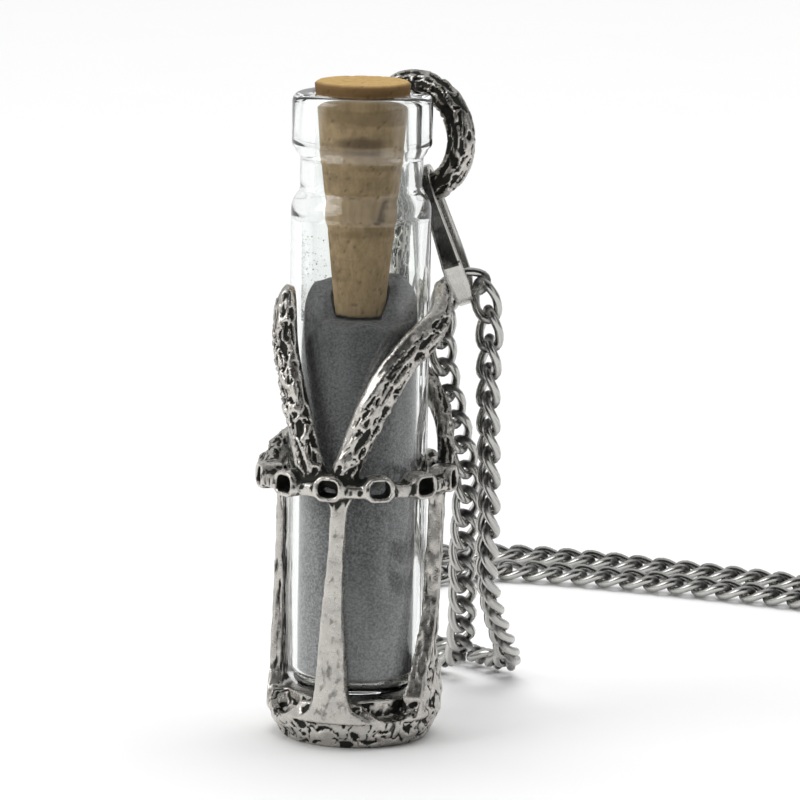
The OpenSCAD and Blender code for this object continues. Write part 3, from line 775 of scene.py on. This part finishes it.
class PENDANT_OT_vial(Operator):
    """Blows the glass vial, a closed wall of real thickness"""
    bl_idname = "pendant.make_vial"
    bl_label = "Make the vial"

    def execute(self, context):
        settings = context.scene.pendant_vial
        body, neck, mouth, lip = (value / 2 / MM for value in (
            settings.body, settings.neck, settings.mouth, settings.lip))
        bore = body - settings.wall / MM
        lip_low = VIAL_TOP - settings.lip_height / MM
        floor = VIAL_LOW + settings.floor / MM
        foot = settings.foot / MM
        profile = rounded([
            (0, VIAL_LOW, 0), (body, VIAL_LOW, foot - 0.5), (body, lip_low - 5.4, 2.2),
            (neck, lip_low - 4.2, 1), (neck, lip_low - 1.2, 0.9), (lip, lip_low, 0.7), (lip, VIAL_TOP, 0.8),
            (mouth, VIAL_TOP, 0.35), (mouth, lip_low - 4.5, 1.4), (bore, lip_low - 6.7, 1.6),
            (bore, floor, 1.3), (0, floor, 0),
        ])
        piece("vial_glass", spun(profile, 128), glass_finish(settings), "vial", "vial")
        return {"FINISHED"}


def dusted(mesh, level, radius, count=700):
    """The powder's mesh with specks of dust that cling to the glass over its level, at the left."""
    draw = random.Random(7)
    work = bmesh.new()
    work.from_mesh(mesh)
    for _ in range(count):
        turn = -90 + 70 * draw.random()
        rise = 8 * draw.random() ** 2.4
        size = (0.022 + 0.05 * draw.random() ** 3) * MM
        place = Matrix.Translation(Vector(polar(turn, radius, level + rise)) * MM)
        bmesh.ops.create_icosphere(work, subdivisions=1, radius=size, matrix=place)
    return mesh_of(work)


class PENDANT_OT_powder(Operator):
    """Fills the vial with powder, heaped unevenly round the cork's tip"""
    bl_idname = "pendant.make_powder"
    bl_label = "Make the powder"

    def execute(self, context):
        scene = context.scene
        settings, vial, cork = scene.pendant_powder, scene.pendant_vial, scene.pendant_cork
        gap, heap = settings.gap / MM, settings.heap / MM
        low = VIAL_LOW + vial.floor / MM + gap
        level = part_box("powder")[0].z / MM + settings.depth / MM
        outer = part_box("powder")[1].x / MM
        tip = cork.tip / 2 / MM
        tip_z = CORK_TOP - cork.length / MM
        spread = (cork.top / 2 / MM - tip) / (cork.length / MM)
        wall_low = low + 1.5
        profile = rounded([(0, low, 0), (outer, low, 1.2), (outer, wall_low, 0)])[:-1]
        profile += between((outer, wall_low), (outer, level), 61)
        profile += between((outer, level), (tip + 0.28, level), 27)[1:] + [(tip, level), (0, level)]
        mesh = spun(profile, 120)
        rows = rows_of(mesh) / MM
        x, y, z = rows.T
        radius = np.hypot(x, y)
        hill = np.full(len(rows), level)
        body = vial.body / 2 / MM
        for cx, cy, rise, size in ((outer * 0.4, outer * 0.7, heap, body * 0.85),
                                   (-outer * 0.6, outer * 0.5, heap * 0.9, body * 0.75)):
            inside = np.maximum(size ** 2 - (x - cx) ** 2 - (y - cy) ** 2, 0)
            hill = np.maximum(hill, level + rise - size + np.sqrt(inside))
        hill += 0.3 * noise_at(rows * (1, 1, 0), 0.5, 4, seed=5) * smooth(tip, tip + 1.5, radius)
        turn = np.degrees(np.arctan2(x, -y))
        hill -= 3.3 * np.exp(-((turn + 60) / 18) ** 2) * smooth(outer - 2, outer - 0.5, radius)
        top = (z > level - 0.001) & (radius > tip + 0.1)
        wall = (z > wall_low + 0.1) & ~top & (radius > outer - 0.01)
        z[wall] = wall_low + (z[wall] - wall_low) * (hill[wall] - wall_low) / (level - wall_low)
        z[top] = hill[top]
        rim = (z > tip_z) & (radius < tip + (z - tip_z) * spread + gap * 2) & top
        wider = (tip + (z[rim] - tip_z) * spread + gap * 2) / radius[rim]
        rows[rim, :2] *= wider[:, None]
        rows[:, 2] = z
        put_rows(mesh, rows * MM)
        mesh = dusted(mesh, level, outer + 0.03)
        piece("powder_fill", mesh, powder_finish(settings), "vial", "powder")
        return {"FINISHED"}


class PENDANT_OT_cork(Operator):
    """Cuts the tapered cork with its pores and knots"""
    bl_idname = "pendant.make_cork"
    bl_label = "Make the cork"

    def execute(self, context):
        settings = context.scene.pendant_cork
        top, tip, tall = settings.top / 2 / MM, settings.tip / 2 / MM, settings.length / MM
        low = CORK_TOP - tall
        side = between((tip, low), (top, CORK_TOP - 0.25), 91)
        face = between((top - 0.3, CORK_TOP), (0, CORK_TOP), 21)
        mesh = spun([(0, low), (tip * 0.5, low)] + side + face, 110)
        rows = rows_of(mesh) / MM
        normals = rows_of(mesh, "normal")
        pores = smooth(0.28, 0.6, noise_at(rows * (1, 1, 1.6), 1.5, 3, seed=9))
        knots_and_lip_shade = np.zeros(len(rows))
        # Two of these marks are painted shade: the dark band under the glass lip
        for turn, z, wide, high, strength in CORK_KNOTS_AND_LIP_SHADE:
            radius = tip + (top - tip) * (z - low) / tall
            offset = (rows - polar(turn, radius, z)) / (wide, wide, high)
            knots_and_lip_shade = np.maximum(knots_and_lip_shade, strength * smooth(1.1, 0.4, np.linalg.norm(offset, axis=1)))
        knots_and_lip_shade = np.clip(knots_and_lip_shade + 0.6 * smooth(0.45, 0.7, noise_at(rows, 2.6, 2, seed=13)), 0, 1)
        rows -= normals * (pores * 0.05 + knots_and_lip_shade * 0.1)[:, None]
        put_rows(mesh, rows * MM)
        put_attribute(mesh, "knot_and_lip_shade", knots_and_lip_shade)
        upward = smooth(0.4, 0.8, normals[:, 2]) * (rows[:, 2] > CORK_TOP - 0.5)
        put_attribute(mesh, "cut_top", upward)
        # Marks the side over the glass lip for its painted shade
        put_attribute(mesh, "rim", smooth(VIAL_TOP - 0.2, VIAL_TOP + 0.1, rows[:, 2]) * (1 - upward))
        piece("cork_stopper", mesh, cork_finish(settings), "cork", "cork")
        return {"FINISHED"}


# Bail

class PENDANT_OT_bail(Operator):
    """Folds the bail's tapered loop of sheet through the ring"""
    bl_idname = "pendant.make_bail"
    bl_label = "Make the bail"

    def execute(self, context):
        settings = context.scene.pendant_bail
        room, tall, sheet = settings.room / 2 / MM, settings.length / MM, settings.sheet / MM
        eye, sink, foot = 2.05, 0.3, room * 0.6
        bend, widest, fold = -tall * 0.56, -tall * 0.8, -tall * settings.fold
        step = 0.14
        arc = [(eye * math.cos(angle), eye * math.sin(angle) - sink) for angle in np.linspace(math.pi, 0, 15)]
        centre = foot + sheet - tall
        end = [(foot * math.cos(math.radians(angle)), centre + foot * math.sin(math.radians(angle)))
               for angle in range(-20, -161, -14)]
        leg = between((room, -sink), (room, bend), 7)[1:] + between((room, bend), end[0], 5)[1:-1]
        back = [(-y - step, z) for y, z in reversed(leg) if z < fold]
        front = [(-y, z) for y, z in reversed(leg) if z >= fold]
        part = (fold - front[0][1]) / (back[-1][1] - front[0][1])
        crease = front[0][0] + (back[-1][0] + step - front[0][0]) * part
        outline = arc + leg + end + back + [(crease - step, fold - 0.02), (crease, fold + 0.02)] + front
        work = bmesh.new()
        verts = [work.verts.new((0, y * MM, z * MM)) for y, z in outline]
        edges = [work.edges.new((a, b)) for a, b in zip(verts, verts[1:] + verts[:1])]
        layers = [verts]
        for _ in range(4):
            grown = bmesh.ops.extrude_edge_only(work, edges=edges)["geom"]
            verts = [item for item in grown if isinstance(item, bmesh.types.BMVert)]
            edges = [item for item in grown if isinstance(item, bmesh.types.BMEdge)
                     and all(vert in verts for vert in item.verts)]
            layers.append(verts)

        def width_at(z):
            part = np.clip(np.minimum(z / widest, (z + tall) / (tall + widest)), 0, 1)
            return settings.end_width + (settings.width - settings.end_width) * part

        for across, layer in zip((-0.5, -0.25, 0, 0.25, 0.5), layers):
            for vert in layer:
                vert.co.x = width_at(vert.co.z / MM) * across
        bmesh.ops.recalc_face_normals(work, faces=work.faces)
        middle = sum((vert.co for vert in work.verts), Vector()) / len(work.verts)
        if work.faces[0].normal.dot(work.faces[0].calc_center_median() - middle) < 0:
            bmesh.ops.reverse_faces(work, faces=work.faces)
        bmesh.ops.solidify(work, geom=work.faces, thickness=-settings.sheet)
        bmesh.ops.recalc_face_normals(work, faces=work.faces)
        mesh = bevelled(work, 0.09, 2)
        x, y, z = (rows_of(mesh) / MM).T
        # The front leg, the drop and the edges place the painted dark reflection in the sheet's material
        put_attribute(mesh, "front", y < -0.1)
        put_attribute(mesh, "drop", -z / tall)
        put_attribute(mesh, "edge", np.abs(x) * 2 * MM / width_at(z))
        hang = 18
        mesh.transform(
            Matrix.Translation(Vector(RING_CENTRE) * MM) @ turned(RING_TURN - 180, "Z")
            @ Matrix.Translation(Vector(polar(hang, RING_RADIUS, 0)).xzy * MM)
            @ turned(28, "Z") @ turned(-hang, "Y") @ turned(8, "X"))
        piece("bail_loop", mesh, sheet_finish(settings), "root", "bail")
        return {"FINISHED"}


# Chain and clasp

def smooth_route(points, steps=16):
    """A smooth line through the points."""
    points = [np.array((*point, CHAIN_LIES)[:3], float) for point in points]
    line = []
    for index in range(len(points) - 1):
        a = points[max(index - 1, 0)]
        b, c = points[index], points[index + 1]
        d = points[min(index + 2, len(points) - 1)]
        for step in range(steps):
            t = step / steps
            line.append((2 * b + (c - a) * t + (2 * a - 5 * b + 4 * c - d) * t * t
                         + (3 * b - a - 3 * c + d) * t ** 3) / 2)
    line.append(points[-1])
    return np.array(line)


def bent_link(settings):
    """One curb link round the origin, along X and twisted at its two ends, before it is smoothed."""
    half_long = (settings.link_length - settings.wire) / 2 / LINE_KEPT
    half_wide = (settings.link_width - settings.wire) / 2 / LINE_KEPT
    work = bmesh.new()
    section = bmesh.ops.create_circle(
        work, segments=settings.sides, radius=settings.wire / 2 / WIRE_KEPT)["verts"]
    bmesh.ops.rotate(work, verts=section, matrix=turned(90, "X"))
    bmesh.ops.translate(work, verts=section, vec=(1, 0, 0))
    bmesh.ops.spin(work, geom=section + list(work.edges), axis=(0, 0, 1), angle=FULL_TURN,
                   steps=settings.steps, use_merge=True)
    bmesh.ops.remove_doubles(work, verts=work.verts, dist=0.001 * MM)

    def middle(t):
        x = math.copysign(abs(math.cos(t)) ** 0.85, math.cos(t))
        y = math.copysign(abs(math.sin(t)) ** 0.75, math.sin(t)) * half_wide
        turn = settings.twist * x
        return Vector((half_long * x, y * math.cos(turn), y * math.sin(turn)))

    for vert in work.verts:
        t = math.atan2(vert.co.y, vert.co.x)
        out, up = math.hypot(vert.co.x, vert.co.y) - 1, vert.co.z
        centre = middle(t)
        ahead = (middle(t + 0.05) - middle(t - 0.05)).normalized()
        turn = settings.twist * centre.x / half_long
        face = Vector((0, -math.sin(turn), math.cos(turn)))
        away = ahead.cross(face).normalized()
        vert.co = centre + away * out + away.cross(ahead).normalized() * -up
    bmesh.ops.recalc_face_normals(work, faces=work.faces)
    return mesh_of(work)


def chain_places(settings):
    """The place, direction and flat side of each link, in millimetres."""
    line = smooth_route(CHAIN_ROUTE)
    steps = np.linalg.norm(np.diff(line, axis=0), axis=1)
    walked = np.concatenate([[0], np.cumsum(steps)])
    total = walked[-1]
    half = settings.link_length / 2 / MM
    count = round((total - 2 * half) / (settings.pitch / MM)) + 1

    def at(way):
        return np.array([np.interp(way, walked, column) for column in line.T])

    places = []
    for s in np.linspace(half, total - half, count):
        place = at(s)
        ahead = at(s + 1.1) - at(s - 1.1)
        ahead /= np.linalg.norm(ahead)
        rise = float(smooth(2.2, 7.5, place[2]))
        face = np.array([0, rise, 1 - rise])
        face -= ahead * np.dot(face, ahead)
        face /= np.linalg.norm(face)
        roll = math.radians(np.interp(s / total, *zip(*CHAIN_ROLLS)))
        face = face * math.cos(roll) + np.cross(ahead, face) * math.sin(roll)
        places.append((place, ahead, face))
    return places


class PENDANT_OT_chain(Operator):
    """Links the curb chain along its route, through the bail and round to the clasp"""
    bl_idname = "pendant.make_chain"
    bl_label = "Make the chain"

    def execute(self, context):
        settings = context.scene.pendant_chain
        link = bent_link(settings)
        count = len(link.vertices)
        rows = rows_of(link) / MM
        work = bmesh.new()
        for place, ahead, face in chain_places(settings):
            axes = np.stack([ahead, np.cross(face, ahead), face], axis=1)
            if place[2] < CHAIN_LIES + 0.2:
                drop = (rows @ axes.T)[:, 2].min() * LOWEST_KEPT
                place[2] = 0.03 - drop
            matrix = Matrix.Translation(Vector(place) * MM) @ Matrix(axes.tolist()).to_4x4()
            work.from_mesh(link)
            work.verts.ensure_lookup_table()
            bmesh.ops.transform(work, matrix=matrix, verts=work.verts[-count:])
        mesh = mesh_of(work)
        out = np.abs(rows[:, 0]) * MM / (settings.link_length / 2)
        # Painted shade: each link darker towards its ends, where it lies in the next
        put_attribute(mesh, "nest_shade", np.tile(smooth(0.3, 1, out) * 0.5, len(mesh.vertices) // count))
        shown = piece("chain_links", mesh, steel_finish(settings), "root", "chain")
        finer = shown.modifiers.new("smooth", "SUBSURF")
        finer.levels = finer.render_levels = 1
        return {"FINISHED"}


class PENDANT_OT_clasp(Operator):
    """Rounds the plain clasp that joins the chain's two ends"""
    bl_idname = "pendant.make_clasp"
    bl_label = "Make the clasp"

    def execute(self, context):
        settings = context.scene.pendant_chain
        work = bmesh.new()
        work.from_mesh(merged_copy("clasp"))
        bmesh.ops.dissolve_limit(work, angle_limit=math.radians(3), verts=work.verts, edges=work.edges)
        mesh = bevelled(work, 0.3, 3)
        # Painted shade: the whole clasp a little darker
        put_attribute(mesh, "nest_shade", [0.1] * len(mesh.vertices))
        piece("clasp_body", mesh, steel_finish(settings), "root", "clasp")
        return {"FINISHED"}


# Stage

def lamp(name, place, target, size, watts, mirrored=True):
    """A soft square lamp that looks at the target, in metres. Shiny pieces mirror it or not."""
    light = bpy.data.lights.new(name, "AREA")
    light.shape = "SQUARE"
    light.size = size
    light.energy = watts
    shown = placed(name, light)
    shown.location = place
    shown.rotation_euler = (Vector(target) - Vector(place)).to_track_quat("-Z", "Y").to_euler()
    shown.visible_camera = False
    shown.visible_glossy = mirrored


class PENDANT_OT_stage(Operator):
    """Sets the pale floor, the soft lamps and the camera"""
    bl_idname = "pendant.make_stage"
    bl_label = "Make the stage"

    def execute(self, context):
        settings = context.scene.pendant_stage
        scene = context.scene
        work = bmesh.new()
        bmesh.ops.create_grid(work, x_segments=8, y_segments=8, size=4)
        mesh = mesh_of(work)
        mesh.name = "floor"
        mesh.materials.append(floor_finish(settings))
        floor = placed("floor", mesh)
        floor.location.z = -0.02 * MM
        lamp("key_lamp", (-0.42, -0.30, 0.34), (0, 0, 0.03), 0.36, settings.key)
        lamp("fill_lamp", (0.5, -0.22, 0.2), (0, 0, 0.03), 0.3, settings.fill)
        lamp("top_lamp", (0.1, 0.5, 1.6), (0, 0.4, 0), 2, settings.top, mirrored=False)

        sky = Finish("surroundings", "worlds")
        way = sky.add("TexCoord", output="Generated")
        seen = settings.sky
        for direction, start, full, left in DARK_SIDES:
            direction = Vector(direction).normalized()
            closeness = sky.add("VectorMath", {"operation": "DOT_PRODUCT"}, {0: way, 1: direction}, "Value")
            seen = closeness.above(start, full, 1, left) * seen
        # What is seen straight through the glass is white
        depth = sky.add("LightPath", output="Diffuse Depth")
        clear = depth.math("LESS_THAN", depth, 0.5) * sky.add("LightPath", output="Is Transmission Ray")
        seen = seen.math("MAXIMUM", seen, clear)
        scene.world = sky.done(sky.add("Background", {}, {"Color": seen}), "OutputWorld")
        scene.view_settings.view_transform = "Standard"
        scene.view_settings.look = "None"

        camera = placed("camera", bpy.data.cameras.new("camera"))
        camera.data.lens = 240.75
        camera.data.sensor_width = 36
        camera.data.clip_start, camera.data.clip_end = 0.05, 20
        side, down, roll = CAMERA_TURNS
        aim = turned(side, "Z") @ turned(90 - down, "X") @ turned(-roll, "Z")
        camera.matrix_world = Matrix.Translation(CAMERA_PLACE) @ aim
        scene.camera = camera
        return {"FINISHED"}


# Panel and registration

SETTINGS = {
    "pendant_holder": HolderSettings, "pendant_vial": VialSettings, "pendant_powder": PowderSettings,
    "pendant_cork": CorkSettings, "pendant_bail": BailSettings, "pendant_chain": ChainSettings,
    "pendant_stage": StageSettings,
}
OPERATORS = [
    PENDANT_OT_holder, PENDANT_OT_vial, PENDANT_OT_powder, PENDANT_OT_cork, PENDANT_OT_bail, PENDANT_OT_chain,
    PENDANT_OT_clasp, PENDANT_OT_stage,
]


class PENDANT_PT_panel(Panel):
    """Lists the pendant's sizes and colours, and what makes each piece"""
    bl_idname = "PENDANT_PT_panel"
    bl_label = "Bottle Pendant"
    bl_space_type = "VIEW_3D"
    bl_region_type = "UI"
    bl_category = "Pendant"

    def draw(self, context):
        for name, group in SETTINGS.items():
            box = self.layout.box()
            for field in group.__annotations__:
                box.prop(getattr(context.scene, name), field)
        for operator in OPERATORS:
            self.layout.operator(operator.bl_idname)


CLASSES = [*SETTINGS.values(), *OPERATORS, PENDANT_PT_panel]


def register():
    for item in CLASSES:
        bpy.utils.register_class(item)
    for name, group in SETTINGS.items():
        setattr(bpy.types.Scene, name, PointerProperty(type=group))


def unregister():
    for name in SETTINGS:
        delattr(bpy.types.Scene, name)
    for item in reversed(CLASSES):
        bpy.utils.unregister_class(item)


def main():
    register()
    for operator in OPERATORS:
        getattr(bpy.ops.pendant, operator.bl_idname.split(".")[1])()


if __name__ == "__main__":
    main()
